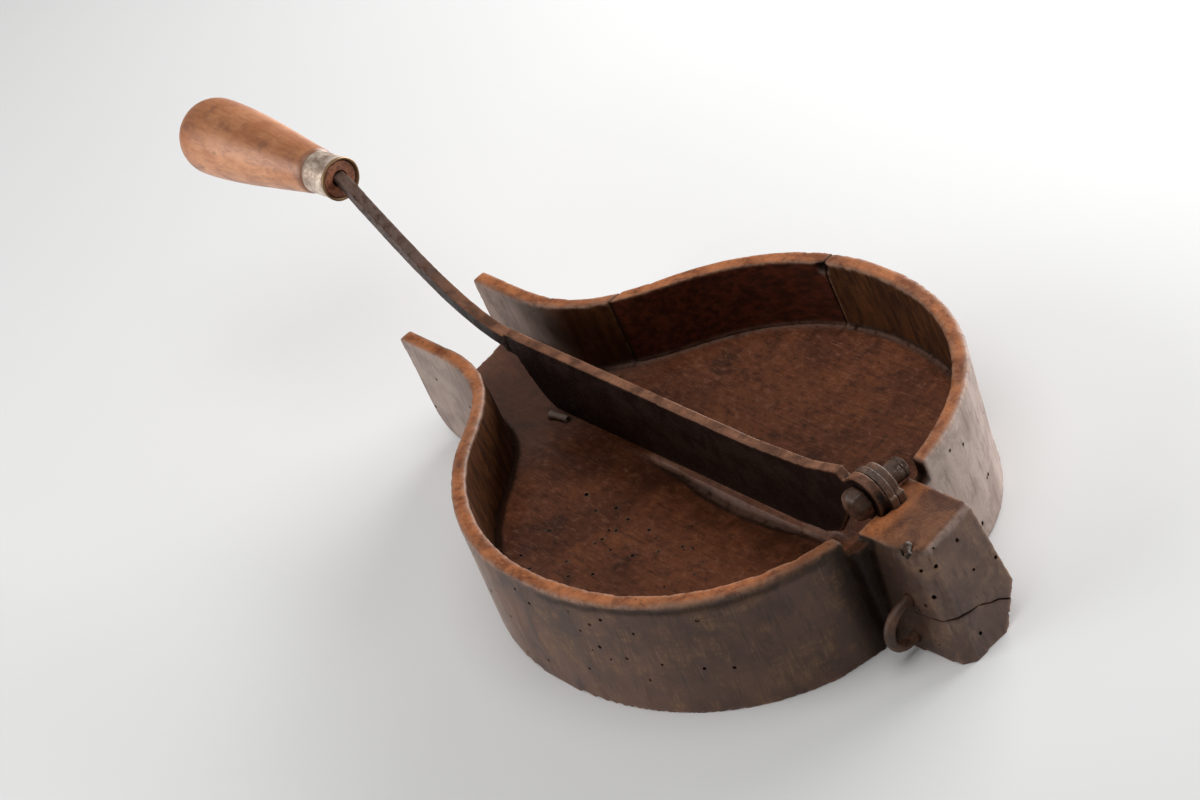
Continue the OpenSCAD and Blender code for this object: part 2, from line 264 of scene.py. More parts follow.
class Shader:
    """A material whose colour, roughness and bump come from its own nodes."""

    def __init__(self, name):
        self.material = bpy.data.materials.new(name)
        self.material.use_nodes = True
        self.tree = self.material.node_tree
        self.surface = self.tree.nodes["Principled BSDF"]
        self.place = self.add("ShaderNodeTexCoord").outputs["Object"]

    def add(self, kind, **settings):
        node = self.tree.nodes.new(kind)
        for key, value in settings.items():
            setattr(node, key, value)
        return node

    def feed(self, socket, value):
        if isinstance(value, bpy.types.NodeSocket):
            self.tree.links.new(value, socket)
        elif hasattr(socket.default_value, "__len__") and len(socket.default_value) == 4:
            socket.default_value = (*value, 1)
        else:
            socket.default_value = value

    def stretched(self, stretch):
        mapping = self.add("ShaderNodeMapping")
        self.feed(mapping.inputs["Vector"], self.place)
        mapping.inputs["Scale"].default_value = stretch
        return mapping.outputs["Vector"]

    def noise(self, cell, stretch=(1, 1, 1), detail=4, rough=0.6, twist=0.0):
        """Noise from 0 to 1 whose features are about one cell (in metres) long."""
        node = self.add("ShaderNodeTexNoise")
        self.feed(node.inputs["Vector"], self.stretched(stretch))
        node.inputs["Scale"].default_value = 1 / cell
        node.inputs["Detail"].default_value = detail
        node.inputs["Roughness"].default_value = rough
        node.inputs["Distortion"].default_value = twist
        return node.outputs["Fac"]

    def pits(self, cell, reach):
        """1 at scattered points, falling to 0 within a share of the cell."""
        node = self.add("ShaderNodeTexVoronoi", feature="F1")
        self.feed(node.inputs["Vector"], self.stretched((1, 1, 1)))
        node.inputs["Scale"].default_value = 1 / cell
        return self.span(node.outputs["Distance"], reach, 0.0)

    def span(self, value, low, high):
        """Maps value to 0 at low and 1 at high, and holds it there beyond."""
        node = self.add("ShaderNodeMapRange", interpolation_type="SMOOTHSTEP")
        self.feed(node.inputs["Value"], value)
        if low < high:
            ends = (low, high, 0, 1)
        else:
            ends = (high, low, 1, 0)
        for socket, end in zip(("From Min", "From Max", "To Min", "To Max"), ends):
            node.inputs[socket].default_value = end
        return node.outputs["Result"]

    def math(self, operation, a, b):
        node = self.add("ShaderNodeMath", operation=operation, use_clamp=True)
        self.feed(node.inputs[0], a)
        self.feed(node.inputs[1], b)
        return node.outputs[0]

    def times(self, a, b):
        return self.math("MULTIPLY", a, b)

    def larger(self, a, b):
        return self.math("MAXIMUM", a, b)

    def blend(self, a, b, share):
        """A colour that goes from a to b with share."""
        node = self.add("ShaderNodeMix", data_type="RGBA", blend_type="MIX")
        self.feed(node.inputs["Factor"], share)
        self.feed(node.inputs["A"], a)
        self.feed(node.inputs["B"], b)
        return node.outputs["Result"]

    def tint(self, colour, paint, where, strength):
        """Lays paint over colour: at this strength where the mask is 1, not at all where it's 0."""
        return self.blend(colour, paint, self.times(where, strength))

    def between(self, a, b, share):
        """A number that goes from a to b with share."""
        node = self.add("ShaderNodeMix", data_type="FLOAT")
        self.feed(node.inputs["Factor"], share)
        self.feed(node.inputs["A"], a)
        self.feed(node.inputs["B"], b)
        return node.outputs["Result"]

    def mask(self, name):
        return self.add("ShaderNodeAttribute", attribute_name=name).outputs["Fac"]

    def bump(self, layers):
        """Stacks (height, depth in metres) layers into one normal."""
        normal = None
        for height, depth in layers:
            node = self.add("ShaderNodeBump")
            node.inputs["Distance"].default_value = depth
            self.feed(node.inputs["Height"], height)
            if normal is not None:
                self.feed(node.inputs["Normal"], normal)
            normal = node.outputs["Normal"]
        self.feed(self.surface.inputs["Normal"], normal)

    def finish(self, colour, roughness, metallic=0.0, coat=0.0, coat_roughness=0.3):
        inputs = self.surface.inputs
        self.feed(inputs["Base Color"], colour)
        self.feed(inputs["Roughness"], roughness)
        self.feed(inputs["Metallic"], metallic)
        inputs["Coat Weight"].default_value = coat
        inputs["Coat Roughness"].default_value = coat_roughness
        return self.material


def scaled(colour, factor):
    return tuple(c * factor for c in colour)


# Stretches of the noise: a small number makes it run far along that axis.
ALONG_X = (0.06, 1, 1)
ROUND_X = (1, 0.2, 0.2)
LEVEL = (0.2, 0.2, 1)
UPRIGHT = (1, 1, 0.18)
SCRATCHED = (1, 1, 0.03)

# Linear colours of the tray's wood, by place and condition.
WAXED_DARK, WAXED_LIGHT = (0.058, 0.026, 0.0165), (0.110, 0.051, 0.032)
OCHRE = (0.20, 0.105, 0.048)
OUTER_STREAK, OUTER_STAIN = (0.020, 0.012, 0.009), (0.020, 0.012, 0.010)
OUTER_SCRATCH = (0.20, 0.13, 0.09)
FLOOR_DARK, FLOOR_LIGHT = (0.088, 0.026, 0.012), (0.17, 0.053, 0.022)
FLOOR_RED, FLOOR_SMUDGE = (0.25, 0.078, 0.026), (0.045, 0.017, 0.009)
FLOOR_GRAIN, FLOOR_FIBRE = (0.048, 0.014, 0.006), (0.28, 0.115, 0.06)
FLOOR_MOTTLE_DARK, FLOOR_MOTTLE_LIGHT = (0.035, 0.012, 0.006), (0.30, 0.13, 0.075)
SPOUT_GREY, FLOOR_SPECK = (0.105, 0.065, 0.052), (0.45, 0.27, 0.16)
RIM_DARK, RIM_LIGHT = (0.17, 0.050, 0.018), (0.36, 0.125, 0.046)
RIM_RUBBED, RIM_STAIN, RIM_PORE = (0.46, 0.19, 0.08), (0.075, 0.032, 0.02), (0.06, 0.026, 0.015)
# SHADED paints the blade's shade and reflection on the floor, and darkens the inner spout and the block's
# top.
SHADED = (0.030, 0.008, 0.0025)
DRIED_AND_SHEEN_DARK, DRIED_AND_SHEEN_LIGHT, DRIED_AND_SHEEN_STREAK = (0.27, 0.195, 0.165), (0.42, 0.325, 0.28), (0.16, 0.11, 0.09)
WORN_EDGE, GRIME_AND_SHADE, OLD_WAX_AND_HIGHLIGHT = (0.34, 0.18, 0.11), (0.010, 0.0045, 0.0025), (0.16, 0.092, 0.068)
# DARK_LINE darkens seams and paints shade under the rim and in the block's corners; HOLE is painted shade
# inside holes and the crack.
DARK_LINE, HOLE = (0.007, 0.0035, 0.002), (0.003, 0.002, 0.0015)


def outer_wood(s, broad, patches, streaks):
    """Grey-brown waxed wood with ochre rubbed patches and a fine weave of scratches."""
    upright_threads = s.span(s.noise(0.0016, UPRIGHT), 0.4, 0.62)
    weave = s.times(upright_threads, s.span(s.noise(0.002, LEVEL), 0.35, 0.6))
    colour = s.blend(WAXED_DARK, WAXED_LIGHT, s.span(broad, 0.35, 0.65))
    rubbed = s.times(s.span(patches, 0.42, 0.68), s.math("ADD", weave, 0.3))
    colour = s.tint(colour, OCHRE, rubbed, 0.85)
    colour = s.tint(colour, OUTER_STREAK, s.span(streaks, 0.5, 0.75), 0.55)
    scratches = s.span(s.noise(0.0014, SCRATCHED, detail=1), 0.72, 0.78)
    colour = s.tint(colour, OUTER_SCRATCH, scratches, 0.45)
    stains = s.span(s.noise(0.022, (1, 1, 0.6), detail=7, twist=0.8), 0.56, 0.7)
    return s.tint(colour, OUTER_STAIN, stains, 0.5)


def floor_wood(s, broad, grain, fine):
    """Red-brown wood, scored along the blade, with a few pale specks."""
    smudges = s.noise(0.020, detail=8, rough=0.65, twist=0.6)
    mottle = s.noise(0.0032, (0.6, 1, 1), detail=6, rough=0.75)
    specks = s.span(s.noise(0.0016, detail=2), 0.74, 0.8)
    colour = s.blend(FLOOR_DARK, FLOOR_LIGHT, s.span(broad, 0.3, 0.65))
    colour = s.tint(colour, FLOOR_RED, s.span(smudges, 0.54, 0.7), 0.55)
    colour = s.tint(colour, FLOOR_SMUDGE, s.span(smudges, 0.48, 0.34), 0.7)
    colour = s.tint(colour, FLOOR_GRAIN, s.span(grain, 0.5, 0.66), 0.55)
    colour = s.tint(colour, FLOOR_FIBRE, s.span(fine, 0.55, 0.7), 0.5)
    colour = s.tint(colour, FLOOR_MOTTLE_DARK, s.span(mottle, 0.48, 0.36), 0.6)
    colour = s.tint(colour, FLOOR_MOTTLE_LIGHT, s.span(mottle, 0.53, 0.66), 0.45)
    # The spout's floor is greyed: scuffed, and partly a painted sheen.
    colour = s.tint(colour, SPOUT_GREY, s.mask("spout"), 0.55)
    return s.tint(colour, FLOOR_SPECK, specks, 0.6)


def rim_wood(s, broad, patches):
    """The bare, handled top of the wall: orange-brown, mottled, and dark in its pores."""
    mottle = s.noise(0.0028, detail=6, rough=0.7)
    colour = s.blend(RIM_DARK, RIM_LIGHT, s.span(patches, 0.36, 0.62))
    colour = s.tint(colour, RIM_RUBBED, s.span(mottle, 0.52, 0.7), 0.5)
    colour = s.tint(colour, RIM_STAIN, s.span(broad, 0.5, 0.68), 0.65)
    return s.tint(colour, RIM_PORE, s.span(mottle, 0.46, 0.34), 0.6)


def inner_wood(s, dark, light, stretch, patches):
    """The inside of the wall, dark, with grain that runs as the stretch says."""
    streaks = s.noise(0.0035, stretch, detail=6)
    colour = s.blend(dark, light, s.span(streaks, 0.36, 0.66))
    return s.tint(colour, scaled(light, 1.6), s.span(patches, 0.55, 0.72), 0.6)


def weathering(s, colour, broad, patches, streaks, grime_and_shade):
    """What age laid over every kind of the tray's wood, together with painted shade, sheen and highlights.
    """
    # Painted shade and reflection of the blade on the floor beside it; darker wood on the inner spout and
    # the block's top.
    shade = s.times(s.mask("shade"), s.between(0.5, 0.85, s.span(patches, 0.6, 0.4)))
    colour = s.blend(colour, SHADED, shade)
    # Pale dried wood and painted sheen on the lips, the side walls and the block's front.
    dried_and_sheen = s.blend(DRIED_AND_SHEEN_DARK, DRIED_AND_SHEEN_LIGHT, s.span(patches, 0.35, 0.6))
    dried_and_sheen = s.tint(dried_and_sheen, DRIED_AND_SHEEN_STREAK, s.span(streaks, 0.5, 0.7), 0.6)
    colour = s.blend(colour, dried_and_sheen, s.times(s.mask("dry_and_sheen"), s.span(broad, 0.1, 0.4)))
    edge = s.times(s.span(s.mask("wear"), 0.25, 0.8), s.span(s.noise(0.005, detail=5), 0.35, 0.6))
    colour = s.tint(colour, WORN_EDGE, edge, 0.5)
    # Hollows darkened: grime, and painted shade.
    colour = s.tint(colour, GRIME_AND_SHADE, grime_and_shade, 0.85)
    # Old wax at the far wall's foot, and a painted highlight on the bevel.
    wax_and_highlight = s.times(s.mask("wax_and_highlight"), s.span(s.noise(0.006, detail=5), 0.3, 0.5))
    colour = s.tint(colour, OLD_WAX_AND_HIGHLIGHT, wax_and_highlight, 0.75)
    # Painted shade under the rim and in the block's corners, over dark seams and the knot and chip.
    colour = s.blend(colour, DARK_LINE, s.mask("dark"))
    # Painted shade inside the wormholes and the crack.
    return s.blend(colour, HOLE, s.mask("hole"))


def wood_gloss(s, grime_and_shade):
    """Waxed outside, drier inside, and dull where it's dark and in hollows."""
    gloss = s.between(0.5, 0.18, s.larger(s.mask("inner"), s.mask("rim")))
    gloss = s.between(gloss, 0.3, s.mask("floor"))
    gloss = s.between(gloss, 0.1, s.larger(s.mask("shade"), s.mask("dark")))
    return s.between(gloss, 0.05, grime_and_shade)


def tray_wood_material(name, inner_dark, inner_light, inner_grain):
    s = Shader(name)
    broad = s.noise(0.045, detail=5)
    patches = s.noise(0.016, detail=7, rough=0.65, twist=0.4)
    streaks = s.noise(0.0035, UPRIGHT, detail=5)
    grain = s.noise(0.0016, ALONG_X, detail=5)
    fine = s.noise(0.0008, ALONG_X, detail=3)
    grime_and_shade = s.span(s.mask("grime_and_shade"), 0.08, 0.6)

    inner = inner_wood(s, inner_dark, inner_light, inner_grain, patches)
    colour = s.blend(outer_wood(s, broad, patches, streaks), inner, s.mask("inner"))
    colour = s.blend(colour, floor_wood(s, broad, grain, fine), s.mask("floor"))
    colour = s.blend(colour, rim_wood(s, broad, patches), s.mask("rim"))
    colour = weathering(s, colour, broad, patches, streaks, grime_and_shade)

    roughness = s.between(0.5, 0.62, s.span(patches, 0.3, 0.7))
    roughness = s.between(roughness, s.between(0.36, 0.5, broad), s.mask("floor"))
    roughness = s.between(roughness, 0.8, grime_and_shade)
    s.feed(s.surface.inputs["Specular IOR Level"], wood_gloss(s, grime_and_shade))
    s.bump([(grain, 0.00012), (streaks, 0.0001), (patches, 0.0004), (fine, 0.00005)])
    return s.finish(colour, roughness)


GRIP_DARK, GRIP_LIGHT = (0.45, 0.165, 0.062), (0.67, 0.305, 0.142)
GRIP_FIGURE_DARK, GRIP_FIGURE_LIGHT = (0.30, 0.10, 0.04), (0.66, 0.33, 0.17)
GRIP_GRAIN, GRIP_SMUDGE = (0.28, 0.095, 0.04), (0.13, 0.058, 0.038)
# Painted shade: on the grip's upper side and next to the ferrule.
GRIP_TOP_SHADE, GRIP_COLLAR = (0.20, 0.072, 0.030), (0.09, 0.035, 0.02)
END_GRAIN_DARK, END_GRAIN_LIGHT = (0.16, 0.050, 0.022), (0.34, 0.12, 0.055)
# GRIP_HOLE is painted shade inside the spike's hole.
GRIP_HOLE = (0.02, 0.008, 0.005)


def grip_wood_material():
    """Polished fruitwood: figured, smudged by hands, with painted shade on top and next to the ferrule."""
    s = Shader("grip_wood")
    grain = s.noise(0.0026, (0.09, 1, 1), detail=5, twist=0.5)
    broad = s.noise(0.03, detail=4)
    smudges = s.noise(0.014, detail=6)
    figure = s.noise(0.005, (0.3, 1, 1), detail=7, rough=0.65, twist=1.5)
    colour = s.blend(GRIP_DARK, GRIP_LIGHT, s.span(broad, 0.35, 0.65))
    colour = s.tint(colour, GRIP_FIGURE_DARK, s.span(figure, 0.48, 0.66), 0.5)
    colour = s.tint(colour, GRIP_FIGURE_LIGHT, s.span(figure, 0.46, 0.3), 0.5)
    colour = s.tint(colour, GRIP_GRAIN, s.span(grain, 0.48, 0.7), 0.45)
    colour = s.tint(colour, GRIP_SMUDGE, s.span(smudges, 0.54, 0.68), 0.6)
    # Painted shade on the upper side.
    colour = s.tint(colour, GRIP_TOP_SHADE, s.mask("painted_top_shade"), 0.5)
    # Painted shade where the grip enters the ferrule.
    colour = s.tint(colour, GRIP_COLLAR, s.mask("collar"), 0.6)
    plug = s.blend(END_GRAIN_DARK, END_GRAIN_LIGHT, s.span(s.noise(0.0022, detail=5), 0.4, 0.6))
    colour = s.blend(colour, plug, s.mask("end_grain"))
    # Painted shade inside the spike's hole.
    colour = s.blend(colour, GRIP_HOLE, s.mask("hole"))
    s.bump([(grain, 0.00008), (smudges, 0.0003)])
    return s.finish(colour, s.between(0.34, 0.5, smudges), coat=0.15, coat_roughness=0.25)


TANG_IRON = (0.13, 0.085, 0.07)


def iron_material(name, dark, rust, bright, rub, shine, gloss):
    """Old forged iron: a dark skin, rust in broad patches, rubbed edges, upper faces lightened by wear and a
    painted highlight, and hollows darkened by grime and painted shade.
    """
    s = Shader(name)
    patches = s.noise(0.016, detail=7, rough=0.65, twist=0.3)
    scale = s.noise(0.004, detail=6, rough=0.65)
    grime_and_shade = s.span(s.mask("grime_and_shade"), 0.1, 0.6)
    colour = s.blend(dark, rust, s.span(patches, 0.42, 0.62))
    colour = s.tint(colour, rust, s.span(scale, 0.5, 0.7), 0.4)
    colour = s.tint(colour, scaled(dark, 0.4), s.pits(0.0045, 0.3), 0.35)
    worn = s.times(s.span(s.mask("wear"), 0.1, 0.7), s.span(scale, 0.3, 0.55))
    colour = s.tint(colour, bright, worn, rub)
    # Upper faces lightened: rubbed iron, and a painted highlight.
    rubbed = s.between(0.35, 0.95, s.span(patches, 0.35, 0.6))
    colour = s.tint(colour, bright, s.mask("top"), rubbed)
    colour = s.tint(colour, TANG_IRON, s.mask("tang"), s.span(scale, 0.3, 0.6))
    # Hollows darkened: grime, and painted shade.
    colour = s.tint(colour, scaled(dark, 0.5), grime_and_shade, 0.9)
    roughness = s.between(s.between(0.4, 0.6, s.span(patches, 0.35, 0.65)), 0.85, grime_and_shade)
    s.surface.inputs["Specular IOR Level"].default_value = gloss
    s.bump([(scale, 0.0004), (patches, 0.0008)])
    return s.finish(colour, roughness, metallic=shine)


PLATE_DARK, PLATE_LIGHT = (0.41, 0.29, 0.22), (0.76, 0.63, 0.52)
PLATE_STAIN, PLATE_RING, PLATE_LIP = (0.22, 0.15, 0.11), (0.13, 0.09, 0.06), (0.26, 0.155, 0.075)


def ferrule_material():
    """Tarnished plating, scored round and round, and darker and warmer at its lip."""
    s = Shader("ferrule_plating")
    mottle = s.noise(0.0045, detail=6, rough=0.65)
    rings = s.noise(0.0012, ROUND_X, detail=3)
    stains = s.noise(0.009, (1, 0.5, 0.5), detail=6)
    colour = s.blend(PLATE_DARK, PLATE_LIGHT, s.span(mottle, 0.38, 0.6))
    colour = s.tint(colour, PLATE_STAIN, s.span(stains, 0.5, 0.66), 0.55)
    colour = s.tint(colour, PLATE_RING, s.span(rings, 0.55, 0.75), 0.35)
    colour = s.blend(colour, PLATE_LIP, s.mask("lip"))
    s.bump([(mottle, 0.0002), (rings, 0.00006)])
    return s.finish(colour, s.between(0.3, 0.5, mottle), metallic=0.55)


# ---------------------------------------------------------------- tray and inlaid wall section

SPOUT_TIP_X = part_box("tray_body")[0].x
RIM_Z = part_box("tray_body")[1].z
INLAY_LOW, INLAY_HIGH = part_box("wall_insert")
BOWL_X = 41 * MM  # the middle of the bowl's round part
SCARF_X = -109 * MM  # the old joint in the spout's left wall
BLOCK_X = 182 * MM  # where the wall ends and the hinge block starts
FLOOR_EDGE_Z = 24.5 * MM
RIDGE_HALF = 3 * MM

# Carving: how far the walls' feet are off plumb, and where wood is missing (place, radius, depth).
RIGHT_WALL_LEAN = 6.5 * MM
LEFT_WALL_FLARE = 3 * MM
KNOT_HOLE, KNOT_R, KNOT_DEPTH = (0.0085, 0.1135, 0.0625), 6 * MM, 2.2 * MM
BLOCK_CHIP, CHIP_R, CHIP_DEPTH = (0.204, -0.0165, 0.0585), 7 * MM, 3 * MM
BEVEL_MIDDLE_X, BEVEL_HALF_LENGTH = 54 * MM, 52 * MM
BEVEL_WIDTH, BEVEL_TOP = 4.4 * MM, 20.4 * MM
GROOVE_Z, GROOVE_HALF, GROOVE_DEPTH = 61.3 * MM, 1.5 * MM, 0.45 * MM

# The notch in the tray's back, where the blade's eye swings, and the ledge at its bottom.
NOTCH_X, NOTCH_HALF, NOTCH_Z = (148 * MM, 186 * MM), 28.6 * MM, 54 * MM
LEDGE_X, LEDGE_Z = (150 * MM, 188 * MM), (50 * MM, 57.8 * MM)


def facing_inwards(co, normals):
    """1 where a wall's normal points at the tray's middle line, -1 where it points away."""
    middle_x = np.clip(co[:, 0], SPOUT_TIP_X, BOWL_X)
    to_middle = np.stack([middle_x - co[:, 0], -co[:, 1]], axis=1)
    length = np.maximum(np.linalg.norm(to_middle, axis=1), 1e-6)
    return (normals[:, :2] * to_middle).sum(axis=1) / length


class Skin:
    """A tray mesh's points: where they are, their normals, and which way they face."""

    def __init__(self, mesh):
        self.co, self.normals, self.pairs = coordinates(mesh), vertex_normals(mesh), edge_pairs(mesh)
        self.x, self.y, self.z = self.co.T
        self.up = self.normals[:, 2]
        self.inwards = facing_inwards(self.co, self.normals)
        self.upright = smooth_step(0.75, 0.5, np.abs(self.up))
        self.faces_out = self.inwards < -0.3


def within(value, limits):
    return (value > limits[0]) & (value < limits[1])


def near(co, centre, radius):
    """1 at the centre, falling smoothly to 0 at the radius."""
    return smooth_step(radius, 0, np.linalg.norm(co - np.array(centre), axis=1))


def line(distance, half_width, core):
    """1 within the core of a line, falling to 0 at its half width."""
    return smooth_step(half_width, core, distance)


def nearest_in_plan(targets, points):
    """For each point, which target lies nearest seen from above, and how far off it is."""
    tree = KDTree(len(targets))
    for i, (x, y, _) in enumerate(targets):
        tree.insert((x, y, 0), i)
    tree.balance()
    found = [tree.find((x, y, 0)) for x, y, _ in points]
    return np.array([f[1] for f in found]), np.array([f[2] for f in found])


def bevel_width(x):
    along = (x - BEVEL_MIDDLE_X) / BEVEL_HALF_LENGTH
    return np.maximum(BEVEL_WIDTH * (1 - along**2), 0.01 * MM)


def off_plumb(skin, outer):
    """How the walls' outsides move: most at the base, and not at all at the rim."""
    lean = RIGHT_WALL_LEAN * fade(skin.y, (50 * MM, 110 * MM))
    flare = LEFT_WALL_FLARE * fade(skin.y, (-20 * MM, -60 * MM)) * fade(skin.x, (BLOCK_X, 172 * MM))
    push = skin.normals * (1, 1, 0) * ((flare - lean) * outer)[:, None]
    # The base follows the wall above its edge, or the edge would stay behind as a ledge.
    level = (np.abs(skin.up) > 0.6) & (skin.z < 50 * MM)
    wall = outer > 0.9
    nearest, distance = nearest_in_plan(skin.co[wall][::3], skin.co[level])
    push[level] = push[wall][::3][nearest] * smooth_step(8 * MM, 0, distance)[:, None]
    return relax(push, skin.pairs, 6) * (1 - skin.z / RIM_Z)[:, None]


def bevel_rise(skin):
    """How far points rise to a bevel, widest halfway along, that leans against the ridge."""
    width = bevel_width(skin.x)
    slope = smooth_step(0, 1, (skin.y + RIDGE_HALF + width) / width)
    beside = within(skin.y, (-10.5 * MM, -2 * MM)) & (width > 0.5 * MM)
    low = within(skin.z, (13 * MM, BEVEL_TOP))
    return np.where(beside & low, slope * (BEVEL_TOP - skin.z), 0)


def tool_marks(co, skin):
    """Waves left in the walls by carving, and longer gouges along the spout's floor."""
    waves = rough_noise(co, 45 * MM, 11) * 0.45 * MM + rough_noise(co, 12 * MM, 23) * 0.16 * MM
    wall = 1 - smooth_step(0.55, 0.85, np.abs(skin.up))
    gouges = rough_noise(co, (50 * MM, 9 * MM, 50 * MM), 37, 2) * 0.35 * MM
    spout = fade(skin.x, (-75 * MM, -105 * MM)) * smooth_step(0.5, 0.9, skin.up) * (co[:, 2] < 30 * MM)
    return waves * (0.35 + 0.65 * wall) + gouges * spout


def lost_wood(co, skin, outer):
    """How deep the nicked edges, the groove under the front rim, the knot and the chip are."""
    edge = smooth_step(0.12 * MM, 0.4 * MM, convexity(co, skin.normals, skin.pairs, 6))
    nicks = smooth_step(0.1, 0.8, rough_noise(co, 8 * MM, 51)) * 0.8 * MM
    nicks *= 1 - 0.55 * fade(skin.x, (180 * MM, 190 * MM))
    front = fade(skin.x, (50 * MM, 90 * MM)) * fade(skin.x, (168 * MM, 160 * MM)) * (skin.y < 0)
    groove = np.exp(-(((co[:, 2] - GROOVE_Z) / GROOVE_HALF) ** 2)) * GROOVE_DEPTH * front * outer
    knot = near(co, KNOT_HOLE, KNOT_R) * KNOT_DEPTH * (skin.inwards > 0)
    chip = near(co, BLOCK_CHIP, CHIP_R) * CHIP_DEPTH
    return nicks * edge + groove + knot + chip


def carve(obj):
    """Hand-carved unevenness, nicked edges, and walls that aren't quite upright."""
    skin = Skin(obj.data)
    outer = relax((skin.faces_out & (np.abs(skin.up) < 0.6)).astype(float), skin.pairs, 3)
    co = skin.co + off_plumb(skin, outer)
    co[:, 2] += bevel_rise(skin)
    move = tool_marks(co, skin) - lost_wood(co, skin, outer)
    move *= fade(co[:, 2], (0, 4 * MM))
    co += relax(skin.normals, skin.pairs, 2) * move[:, None]
    co[:, 2] = np.maximum(co[:, 2], 0)
    set_coordinates(obj.data, co)


def on_bevel(skin):
    slope = fade(skin.y + RIDGE_HALF + bevel_width(skin.x), (-0.6 * MM, 0.4 * MM))
    return (skin.y < RIDGE_HALF) * slope * within(skin.x, (-20 * MM, 120 * MM))


def wax_and_highlight_mask(skin, floor, inner, more_wall):
    """Old wax lies where the floor meets the far wall, and a painted highlight lies on the bevel."""
    walls = np.concatenate([skin.co[(inner > 0.5) & (skin.z < 40 * MM)], more_wall])
    distance = nearest_in_plan(walls[::3], skin.co)[1]
    on_floor = line(distance, 3.4 * MM, 1.4 * MM) * floor
    wax_and_highlight = np.maximum(on_floor, inner * fade(skin.z, (27.5 * MM, 25.5 * MM)))
    wax_and_highlight *= (skin.y > 20 * MM) * fade(skin.x, (-100 * MM, -85 * MM)) * fade(skin.x, (140 * MM, 100 * MM))
    # A painted highlight on the bevel beside the blade.
    bevel = on_bevel(skin) * within(skin.z, (15 * MM, 23 * MM)) * (skin.up > 0.3)
    return np.maximum(wax_and_highlight, 0.5 * bevel)


def shade_mask(skin, floor, inner, block_top):
    """Dark red-brown wood: painted shade and reflection of the blade on the floor beside it, and darker wood
    on the inner spout and the block's top.
    """
    # Painted shade and reflection of the dark blade, stronger on the near side.
    beside_blade = fade(np.abs(skin.y), (50 * MM, 12 * MM)) * np.where(skin.y < 0, 1, 0.45)
    shade = floor * (1 - on_bevel(skin)) * beside_blade * fade(skin.x, (-90 * MM, -40 * MM))
    before_inlay = fade(skin.x, (INLAY_LOW.x + 2 * MM, INLAY_LOW.x))
    shade = np.maximum(shade, 0.95 * inner * (skin.y > 0) * before_inlay)
    return np.maximum(shade, 0.6 * block_top)


def dry_and_sheen_mask(skin):
    """The spout's lips, the right wall, the near wall's left part and the block's front are pale: partly
    dried wood, partly a painted sheen.
    """
    # The lips: pale bleached wood with a painted sheen.
    lips = 0.7 * fade(skin.x, (-105 * MM, -150 * MM)) * (np.abs(skin.y) > 20 * MM)
    right = fade(skin.x, (80 * MM, 140 * MM)) * fade(skin.x, (192 * MM, 186 * MM))
    right *= fade(skin.y, (20 * MM, 30 * MM))
    # Painted sheen on the near wall's left part.
    left = 0.7 * fade(skin.x, (30 * MM, -30 * MM)) * (skin.x > -90 * MM) * (skin.y < -20 * MM)
    walls = np.maximum(lips, np.maximum(left, right) * skin.faces_out)
    block_front = 0.13 * fade(skin.x, (208 * MM, 214 * MM)) * smooth_step(0.4, 0.7, skin.normals[:, 0])
    dry_and_sheen = np.maximum(walls, block_front) * skin.upright
    # A pale bead on the block's front top edge, partly wear and partly a painted highlight, and a painted
    # highlight along the right wall's outer rim edge.
    # The block's front top edge slants a little across the tray.
    front_edge = np.abs(skin.x + 0.14 * skin.y - 213.4 * MM)
    bead = line(front_edge, 1.6 * MM, 0.8 * MM) * (skin.z > 55.5 * MM)
    rim_edge_highlight = right * (skin.inwards < -0.15) * (skin.up < 0.8)
    rim_edge_highlight = rim_edge_highlight * fade(skin.z, (RIM_Z - 3 * MM, RIM_Z - 2 * MM))
    return np.maximum(dry_and_sheen, np.maximum(0.5 * bead, rim_edge_highlight))


def seams(skin, ragged, rim):
    """Dark lines at the insert's two ends and at the scarf on the spout's left."""
    dark = np.zeros(len(skin.co))
    for seam_x, side in ((INLAY_LOW.x, 1), (INLAY_HIGH.x, 1), (SCARF_X, -1)):
        seam = line(np.abs(skin.x - seam_x) + 0.5 * np.abs(ragged), 1.1 * MM, 0.3 * MM)
        seam *= (side * skin.y > 20 * MM) * (skin.z > FLOOR_EDGE_Z) * (1 - 0.6 * rim)
        dark = np.maximum(dark, seam)
    return dark


def block_corners(skin):
    """Painted shade in the notch, on its ledge, at the rim's end and in the corner between the left wall and
    the block.
    """
    in_notch = (np.abs(skin.y) < NOTCH_HALF) * within(skin.x, NOTCH_X) * (skin.z > NOTCH_Z)
    ledge = smooth_step(0.4, 0.7, skin.up) * within(skin.z, LEDGE_Z) * within(skin.x, LEDGE_X)
    corner = fade(skin.x, (174 * MM, 181 * MM)) * fade(skin.y, (-45 * MM, -32 * MM))
    corner = corner * (skin.y < -14 * MM) * skin.upright
    corner *= np.where(skin.x < 183 * MM, 0.85, 0.5 * fade(skin.x, (210 * MM, 190 * MM)))
    rim_end = fade(skin.x, (160 * MM, 176 * MM)) * (skin.x < 185 * MM) * (skin.y < 0)
    rim_end = rim_end * (skin.z > 60 * MM)
    return np.max([0.85 * in_notch * skin.upright, 0.8 * ledge, corner, 0.5 * rim_end], axis=0)


